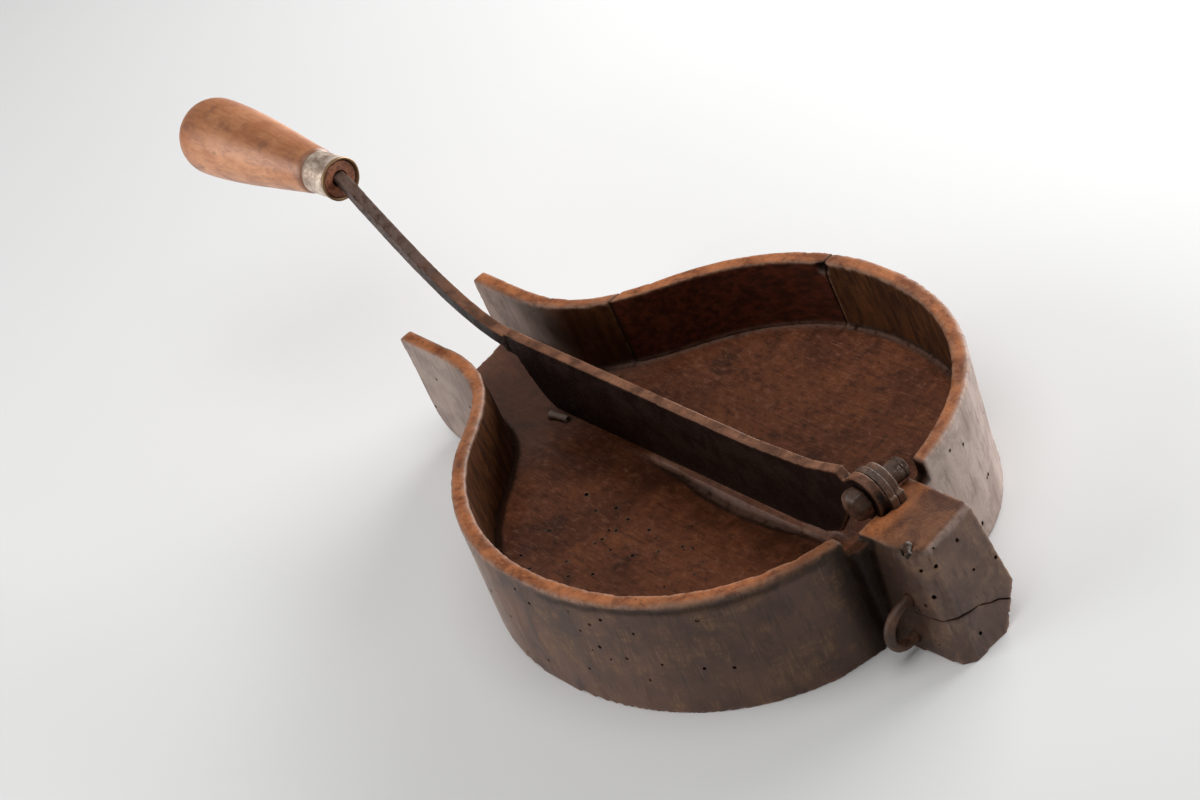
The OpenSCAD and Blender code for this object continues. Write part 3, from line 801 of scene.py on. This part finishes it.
def dark_mask(skin, rim):
    """Lines and corners painted almost black: painted shadow under the front rim, painted shade in the
    block's corners, dark seams, and the knot and the chip.
    """
    ragged = 1.2 * MM * rough_noise(skin.co, 10 * MM, 5)
    # Painted shadow under the rim's overhang along the front.
    under_rim = line(np.abs(skin.z - (RIM_Z - 4.4 * MM) + ragged), 2.2 * MM, 0.9 * MM)
    under_rim *= fade(skin.x, (40 * MM, 80 * MM)) * (skin.x < 170 * MM) * (skin.y < 0) * skin.faces_out
    knot = smooth_step(0.15, 0.5, near(skin.co, KNOT_HOLE, KNOT_R)) * (skin.inwards > 0)
    chip = smooth_step(0.1, 0.6, near(skin.co, BLOCK_CHIP, CHIP_R))
    layers = [0.6 * under_rim, 0.9 * seams(skin, ragged, rim), knot, 0.85 * chip, block_corners(skin)]
    return np.max(layers, axis=0)


def paint_tray(mesh, more_wall):
    """Stores where the rim, floor, inner walls, wax and painted highlights, dry wood and painted sheen,
    painted shade and dark lines are.
    """
    skin = Skin(mesh)
    on_block = fade(skin.x, (BLOCK_X, BLOCK_X + 8 * MM))
    rim = smooth_step(0.6, 0.78, skin.up) * fade(skin.z, (45 * MM, 52 * MM))
    block_top = rim * on_block
    rim *= 1 - 0.5 * on_block
    floor = smooth_step(0.45, 0.75, skin.up) * fade(skin.z, (45 * MM, 35 * MM)) * (skin.z > 10 * MM)
    inner = (skin.inwards > 0.05) * smooth_step(0.35, 0.1, np.abs(skin.up)) * (skin.z > 14 * MM)
    masks = {
        "rim": rim,
        "floor": floor,
        "spout": floor * fade(skin.x, (-55 * MM, -105 * MM)),
        "inner": inner,
        "wax_and_highlight": wax_and_highlight_mask(skin, floor, inner, more_wall),
        "dry_and_sheen": dry_and_sheen_mask(skin),
        "dark": dark_mask(skin, rim),
        "shade": shade_mask(skin, floor, inner, block_top),
    }
    for name, values in masks.items():
        store(mesh, name, relax(np.asarray(values, float), skin.pairs, 1))


def wormholes(obj, seed):
    """Scatters beetle holes over the outer wall, the near floor and the block."""
    skin = Skin(obj.data)
    outside = (skin.inwards < -0.5) & (skin.z > 6 * MM)
    near_wall = outside & (skin.y < -20 * MM) & (skin.x < 150 * MM) & (skin.z < 58 * MM)
    left_floor = (skin.up > 0.9) & (skin.z < 30 * MM) & (skin.y < -35 * MM)
    left_floor &= within(skin.x, (-35 * MM, 75 * MM))
    far_wall = outside & (skin.y > 20 * MM) & (skin.z < 60 * MM)
    block = (skin.x > 200 * MM) & (np.abs(skin.up) < 0.5) & (skin.z > 4 * MM)
    rng = np.random.default_rng(seed)
    chosen = []
    for where, count in ((near_wall, 46), (left_floor, 30), (far_wall, 26), (block, 14)):
        chosen.extend(rng.choice(np.nonzero(where)[0], count, replace=False))
    tilt = rng.normal(0, 0.25, (len(chosen), 3))
    radii = rng.uniform(0.5, 1.15, len(chosen)) * MM
    cut_holes(obj, skin.co[chosen], skin.normals[chosen] + tilt, radii, 3 * MM)


# The split across the block's front, as points in mm on its left face, bevel and front.
CRACK = [(200, -19.4, 23), (210, -18.9, 22.5), (215, -18, 23.3), (218.5, -17, 22.7), (220.5, -12, 22.6)]
CRACK += [(222, -6, 20.6), (222.3, 0, 19.6), (222.4, 6, 16.2), (222.6, 11, 14.4), (223.2, 17, 10)]
BLOCK_MIDDLE = Vector((195 * MM, 4 * MM, 0))


def split_block(obj):
    """Cuts the crack: a thin wedge that runs in from the surface."""
    outside, tip = 4 * MM, 4 * MM
    vertices = []
    for i, point in enumerate(CRACK):
        surface = Vector(point) * MM
        outwards = ((surface - BLOCK_MIDDLE) * Vector((1, 1, 0))).normalized()
        half = Vector((0, 0, (0.4 + 0.25 * (i % 3)) * MM))
        face = surface + outwards * outside
        vertices += [face + half, face - half, surface - outwards * tip]
    last = len(vertices) - 3
    faces = [[2, 1, 0], [last, last + 1, last + 2]]
    for i in range(0, last, 3):
        for a, b in ((0, 1), (1, 2), (2, 0)):
            faces.append([i + a, i + b, i + b + 3, i + a + 3])
    subtract(obj, vertices, faces)


def make_tray(material, insert_face):
    tray = fine_copy("tray_body", "tray", 1.15 * MM, 4)
    carve(tray)
    paint_tray(tray.data, insert_face)
    store_wear(tray.data, 16)
    thin_out(tray, 185000)
    wormholes(tray, 7)
    split_block(tray)
    place(tray, "tray", "tray_body", material)


def make_insert(material):
    """Makes the insert and returns the points of its inner face."""
    insert = fine_copy("wall_insert", "wall_insert_wood", 1 * MM, 4)
    carve(insert)
    skin = Skin(insert.data)
    face = skin.co[skin.inwards > 0.5]
    paint_tray(insert.data, face)
    store_wear(insert.data, 14)
    place(insert, "tray", "wall_insert", material)
    return face


# ---------------------------------------------------------------- iron

# Over the first stretch the blade turns into its tang; past the second lies the block's nail.
TANG_X = (-150 * MM, -190 * MM)
NAIL_ON_BLOCK_X = (190 * MM, 200 * MM)


def hammer(mesh, big, small, seed):
    """Shallow forging dents, big ones about a centimetre wide and small ones a few mm."""
    co = coordinates(mesh)
    push_out(mesh, rough_noise(co, 11 * MM, seed) * big + rough_noise(co, 3.5 * MM, seed + 9) * small)


def crumple(mesh):
    """Beats the nail on the block down into an uneven lump."""
    co = coordinates(mesh)
    on_block = fade(co[:, 0], NAIL_ON_BLOCK_X)
    lumps = rough_noise(co, 4 * MM, 91) * 0.9 * MM * on_block
    co += vertex_normals(mesh) * lumps[:, None]
    co[:, 2] -= on_block * 0.4 * np.maximum(co[:, 2] - BLOCK_CHIP[2], 0)
    set_coordinates(mesh, co)
    # Painted highlight on the upper faces of the nail in the spout.
    store(mesh, "top", (1 - on_block) * smooth_step(0.2, 0.9, vertex_normals(mesh)[:, 2]))


def darken_sides(mesh):
    """Marks the faces of a ring that look along the pin with painted shade, for the gaps between the rings.
    """
    store(mesh, "grime_and_shade", smooth_step(0.55, 0.9, np.abs(vertex_normals(mesh)[:, 1])))


def make_iron(node, material, voxel, big, small, seed, blunting=0, shape=None, paint=None):
    """A forged piece on the tray: blunted, dented, then shaped and painted as asked."""
    piece = fine_copy(node, node + "_iron", voxel, 3)
    mesh = piece.data
    set_coordinates(mesh, relax(coordinates(mesh), edge_pairs(mesh), blunting))
    hammer(mesh, big, small, seed)
    if shape:
        shape(mesh)
    store_wear(mesh, 10)
    if paint:
        paint(mesh)
    place(piece, "tray", node, material)


def make_blade(material):
    blade = fine_copy("blade", "blade_iron", 0.6 * MM, 5)
    mesh = blade.data
    hammer(mesh, 0.12 * MM, 0.05 * MM, 3)
    store_wear(mesh, 8)
    # The blade's upper faces are lightened, partly rubbed and partly a painted highlight, and less so on the
    # tang.
    top = smooth_step(0.35, 0.7, vertex_normals(mesh)[:, 2])
    tang = fade(coordinates(mesh)[:, 0], TANG_X)
    store(mesh, "top", top * (1 - 0.6 * tang))
    store(mesh, "tang", 0.85 * tang)
    place(blade, "blade_arm", "blade", material)


# ---------------------------------------------------------------- grip and ferrule


def turned(name, profile, sides):
    """A closed lathe form along Z from [radius, distance] pairs."""
    vertices, faces, rings = [], [], []
    for radius, along in profile:
        if radius < 1e-7:
            rings.append([len(vertices)])
            vertices.append((0, 0, along))
            continue
        rings.append(list(range(len(vertices), len(vertices) + sides)))
        for i in range(sides):
            turn = 2 * math.pi * i / sides
            vertices.append((radius * math.cos(turn), radius * math.sin(turn), along))
    for low, high in zip(rings, rings[1:]):
        for i in range(sides):
            j = (i + 1) % sides
            quad = [low[i % len(low)], low[j % len(low)], high[j % len(high)], high[i % len(high)]]
            faces.append(list(dict.fromkeys(quad)))
    if len(rings[0]) > 1:
        first, last = rings[0], rings[-1]
        for i in range(sides):
            j = (i + 1) % sides
            faces.append([last[i], last[j], first[j], first[i]])
    return mesh_object(name, vertices, faces)


GRIP_LOW, GRIP_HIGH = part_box("grip")
FERRULE_LOW, FERRULE_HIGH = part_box("ferrule")
GRIP_YAW = math.radians(2.5)
GRIP_MOUTH = Vector((FERRULE_HIGH.x - 0.5 * MM, 0, (FERRULE_LOW.z + FERRULE_HIGH.z) / 2))
GRIP_TURN = Matrix.Rotation(GRIP_YAW, 4, "Z") @ Matrix.Rotation(math.radians(-90), 4, "Y")
GRIP_PLACE = Matrix.Translation(GRIP_MOUTH) @ GRIP_TURN
GRIP_LEN = (GRIP_MOUTH.x - GRIP_LOW.x) / math.cos(GRIP_YAW)
GRIP_R = (GRIP_HIGH.z - GRIP_LOW.z) / 2
FERRULE_R = (FERRULE_HIGH.z - FERRULE_LOW.z) / 2
FERRULE_LEN = 21 * MM
MOUTH_HOLE_R = 4.2 * MM
MOUTH_HOLE_DEPTH = 9 * MM


def bezier(points, t):
    a, b, c, d = (np.array(p) for p in points)
    return (1 - t) ** 3 * a + 3 * (1 - t) ** 2 * t * b + 3 * (1 - t) * t * t * c + t**3 * d


def grip_profile():
    """From the spike's hole, round the neck inside the ferrule, and along the pear's side."""
    neck = FERRULE_R - 1.6 * MM
    bulb = GRIP_LEN - GRIP_R
    body = [
        (FERRULE_R + 0.6 * MM, FERRULE_LEN + 2.5 * MM),
        (FERRULE_R + 2.2 * MM, FERRULE_LEN + 20 * MM),
        (GRIP_R, bulb - 32 * MM),
        (GRIP_R, bulb - 2 * MM),
    ]
    profile = [(0, MOUTH_HOLE_DEPTH), (MOUTH_HOLE_R * 0.8, MOUTH_HOLE_DEPTH), (MOUTH_HOLE_R, 2 * MM)]
    profile += [(MOUTH_HOLE_R + 0.5 * MM, 1.1 * MM), (neck - 0.6 * MM, 1 * MM), (neck, 1.6 * MM)]
    profile += [(neck, FERRULE_LEN - 1 * MM), (FERRULE_R - 0.2 * MM, FERRULE_LEN + 0.1 * MM)]
    profile += [tuple(bezier(body, t)) for t in np.linspace(0, 1, 40)]
    for angle in np.linspace(0.04, math.pi / 2, 26):
        profile.append((GRIP_R * math.cos(angle), bulb + GRIP_R * math.sin(angle)))
    profile[-1] = (0, GRIP_LEN)
    return profile


def make_grip(material):
    grip = turned("grip_wood_turned", grip_profile(), 128)
    mesh = grip.data
    mesh.transform(GRIP_PLACE)
    mesh.update()
    co = coordinates(mesh)
    push_out(mesh, rough_noise(co, 20 * MM, 61) * 0.18 * MM)
    along = GRIP_MOUTH.x - co[:, 0]
    in_hole = np.hypot(co[:, 1], co[:, 2] - GRIP_MOUTH.z) < MOUTH_HOLE_R + 0.2 * MM
    # Painted shade on the upper side, where less light falls.
    store(mesh, "painted_top_shade", smooth_step(0.3, 0.95, vertex_normals(mesh)[:, 2]))
    # Painted shade next to the ferrule.
    store(mesh, "collar", fade(along - FERRULE_LEN, (5 * MM, 0)))
    store(mesh, "end_grain", along < 1.9 * MM)
    # Painted shade inside the spike's hole.
    store(mesh, "hole", in_hole & (along < MOUTH_HOLE_DEPTH + 1 * MM))
    place(grip, "blade_arm", "grip", material)


def ferrule_profile():
    """A thin sleeve with a bead at its mouth."""
    outer = FERRULE_R - 0.4 * MM
    inner = outer - 0.9 * MM
    bead_end = 2.4 * MM
    profile = [(inner, 0.5 * MM), (inner + 0.25 * MM, 0.1 * MM), (inner + 0.6 * MM, 0)]
    profile += [(FERRULE_R - 0.3 * MM, 0.05 * MM), (FERRULE_R, 0.4 * MM), (FERRULE_R, 1.1 * MM)]
    profile += [(outer + 0.1 * MM, 1.7 * MM), (outer, bead_end)]
    for step in range(1, 12):
        profile.append((outer, bead_end + (FERRULE_LEN - 1 * MM - bead_end) * step / 12))
    profile += [(outer, FERRULE_LEN - 0.6 * MM), (outer - 0.3 * MM, FERRULE_LEN), (inner, FERRULE_LEN)]
    return profile


def make_ferrule(material):
    ferrule = turned("ferrule_sleeve", ferrule_profile(), 128)
    mesh = ferrule.data
    mesh.transform(GRIP_PLACE)
    mesh.update()
    co = coordinates(mesh)
    push_out(mesh, rough_noise(co, 7 * MM, 71) * 0.16 * MM)
    store(mesh, "lip", GRIP_MOUTH.x - co[:, 0] < 1.4 * MM)
    place(ferrule, "blade_arm", "ferrule", material)


# ---------------------------------------------------------------- hinge pin

PIN_LOW, PIN_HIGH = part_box("hinge_pin")
PIN_START = Vector(((PIN_LOW.x + PIN_HIGH.x) / 2, PIN_LOW.y, (PIN_LOW.z + PIN_HIGH.z) / 2))
PIN_LENGTH = PIN_HIGH.y - PIN_LOW.y
HEAD_R = (PIN_HIGH.z - PIN_LOW.z) / 2
HEAD_LEN, HEAD_SIDES = 8 * MM, 8
SHAFT_R = 4.2 * MM
TAIL_R, TAIL_START = 5.6 * MM, 22.7 * MM
TAIL_GROOVE_R, TAIL_GROOVE = 5.1 * MM, (31 * MM, 31.4 * MM)


def pin_profile():
    """A domed head, a plain shaft, and a thicker tail with a groove round it."""
    dome_mm = [(0, 0), (3.2, 0.1), (5.4, 0.6), (7, 1.6), (7.9, 3), (8.3, 4.4), (8.4, 6.2), (8.1, 7.4)]
    profile = [(radius * MM, along * MM) for radius, along in dome_mm]
    profile += [(7.2 * MM, HEAD_LEN), (SHAFT_R, HEAD_LEN), (SHAFT_R, TAIL_START)]
    profile += [(TAIL_R, TAIL_START + 0.1 * MM), (TAIL_R, 25 * MM), (TAIL_R, 28 * MM)]
    profile += [(TAIL_R, TAIL_GROOVE[0] - 0.4 * MM), (TAIL_GROOVE_R, TAIL_GROOVE[0])]
    profile += [(TAIL_GROOVE_R, TAIL_GROOVE[1]), (TAIL_R, TAIL_GROOVE[1] + 0.4 * MM)]
    profile += [(TAIL_R, PIN_LENGTH - 1.2 * MM)]
    profile += [(4.4 * MM, PIN_LENGTH - 0.3 * MM), (0, PIN_LENGTH)]
    return profile


def pin_swell(co):
    """How much wider or narrower each point gets: flats on the head, lumps on the tail."""
    angle = np.arctan2(co[:, 1], co[:, 0]) + 0.2
    side = 2 * math.pi / HEAD_SIDES
    flats = math.cos(side / 2) / np.cos(np.mod(angle, side) - side / 2)
    facets = 1 + 0.75 * (flats / flats.mean() - 1)
    swell = np.where(co[:, 2] < HEAD_LEN + 0.05 * MM, facets, 1)
    lumps = 1 + 0.12 * rough_noise(co, 6 * MM, 83)
    return swell * np.where(co[:, 2] > TAIL_START + 0.05 * MM, lumps, 1)


def make_pin(material):
    """The pin, its head hammered to a rough octagon and its tail thick with rust."""
    pin = turned("hinge_pin_iron", pin_profile(), 96)
    mesh = pin.data
    co = coordinates(mesh)
    co[:, :2] *= pin_swell(co)[:, None]
    radius = np.maximum(np.hypot(co[:, 0], co[:, 1]), 1e-6)
    co[:, :2] *= np.minimum(1, HEAD_R / radius)[:, None]
    depth = np.where(co[:, 2] > 22 * MM, 0.75 * MM, 0.4 * MM)
    shaft = np.abs(co[:, 2] - 15.4 * MM) <= 7.5 * MM
    dents = rough_noise(co, 5 * MM, 85) * depth * ~shaft
    set_coordinates(mesh, co + vertex_normals(mesh) * dents[:, None])
    mesh.transform(Matrix.Translation(PIN_START) @ Matrix.Rotation(math.radians(-90), 4, "X"))
    store_wear(mesh, 10)
    place(pin, "tray", "hinge_pin", material)


# ---------------------------------------------------------------- stage

FLOOR_HALF = 20.0
FLOOR_TONES = (0.70, 0.70, 0.70), (0.74, 0.74, 0.74)
LIGHT_TARGET = Vector((0, 0, 0.03))

# The camera looks down on the hinge end from the left, rolled a little.
CAMERA_PLACE = Vector((1.3289, -0.6240, 1.0333))
CAMERA_AZIMUTH = math.radians(65.66)
CAMERA_ELEVATION = math.radians(33.14)
CAMERA_ROLL = math.radians(-25.9)
CAMERA_LENS_MM = 108


def make_floor():
    h = FLOOR_HALF
    floor = mesh_object("floor", [(-h, -h, 0), (h, -h, 0), (h, h, 0), (-h, h, 0)], [(0, 1, 2, 3)])
    s = Shader("pale_floor")
    floor.data.materials.append(s.finish(s.blend(*FLOOR_TONES, s.noise(0.4, detail=2)), 0.8))


def area_light(name, location, size, power):
    data = bpy.data.lights.new(name, "AREA")
    data.shape = "RECTANGLE"
    data.size, data.size_y = size
    data.energy = power
    lamp = new_object(name, data)
    lamp.location = location
    lamp.rotation_euler = (LIGHT_TARGET - Vector(location)).to_track_quat("-Z", "Y").to_euler()


def make_lights():
    area_light("right_softbox", location=(-0.15, 1.25, 0.4), size=(1.6, 0.7), power=32)
    area_light("left_softbox", location=(-0.7, -1.15, 0.6), size=(1.2, 0.9), power=12)
    area_light("top_softbox", location=(0.2, -0.1, 1.5), size=(1.3, 1.3), power=10)
    world = bpy.data.worlds.new("studio")
    world.use_nodes = True
    background = world.node_tree.nodes["Background"]
    background.inputs["Color"].default_value = (1.0, 0.98, 0.96, 1)
    background.inputs["Strength"].default_value = 0.18
    bpy.context.scene.world = world
    bpy.context.scene.view_settings.view_transform = "Standard"


def make_camera():
    a, e, r = CAMERA_AZIMUTH, CAMERA_ELEVATION, CAMERA_ROLL
    back = Vector((math.sin(a) * math.cos(e), -math.cos(a) * math.cos(e), math.sin(e)))
    right = Vector((math.cos(a), math.sin(a), 0))
    up = back.cross(right)
    rolled_right = math.cos(r) * right + math.sin(r) * up
    rolled_up = -math.sin(r) * right + math.cos(r) * up
    data = bpy.data.cameras.new("camera")
    data.sensor_width = 36
    data.lens = CAMERA_LENS_MM
    data.clip_end = 50
    camera = new_object("camera", data)
    turn = Matrix((rolled_right, rolled_up, back)).transposed()
    camera.matrix_world = Matrix.Translation(CAMERA_PLACE) @ turn.to_4x4()
    bpy.context.scene.camera = camera


# ---------------------------------------------------------------- the object

tray_wood = tray_wood_material(
    "tray_wood", inner_dark=(0.030, 0.009, 0.0025), inner_light=(0.085, 0.028, 0.007), inner_grain=UPRIGHT
)
insert_wood = tray_wood_material(
    "insert_wood", inner_dark=(0.026, 0.005, 0.0016), inner_light=(0.070, 0.0135, 0.004), inner_grain=ALONG_X
)
blade_iron = iron_material(
    "blade_iron",
    dark=(0.0055, 0.0016, 0.0007),
    rust=(0.014, 0.004, 0.0015),
    bright=(0.20, 0.085, 0.045),
    rub=0.4,
    shine=0.0,
    gloss=0.2,
)
hinge_iron = iron_material(
    "hinge_iron",
    dark=(0.055, 0.026, 0.015),
    rust=(0.14, 0.064, 0.034),
    bright=(0.20, 0.13, 0.09),
    rub=0.3,
    shine=0.1,
    gloss=0.4,
)
nail_iron = iron_material(
    "nail_iron",
    dark=(0.03, 0.015, 0.009),
    rust=(0.06, 0.028, 0.015),
    bright=(0.22, 0.16, 0.13),
    rub=0.4,
    shine=0.0,
    gloss=0.15,
)

make_tray(tray_wood, insert_face=make_insert(insert_wood))
make_blade(blade_iron)
make_grip(grip_wood_material())
make_ferrule(ferrule_material())
make_pin(hinge_iron)
ring = {"voxel": 0.4 * MM, "big": 0.35 * MM, "small": 0.2 * MM, "blunting": 10, "paint": darken_sides}
make_iron("pin_washer", hinge_iron, seed=15, **ring)
make_iron("eye_spike_inner", hinge_iron, seed=20, **ring)
make_iron("eye_spike_outer", hinge_iron, seed=20, **ring)
make_iron("side_staple", hinge_iron, seed=16, voxel=0.45 * MM, big=0.35 * MM, small=0.12 * MM)
nails = {"voxel": 0.35 * MM, "big": 0.3 * MM, "small": 0.15 * MM, "blunting": 8, "shape": crumple}
make_iron("clenched_nails", nail_iron, seed=19, **nails)

make_floor()
make_lights()
make_camera()
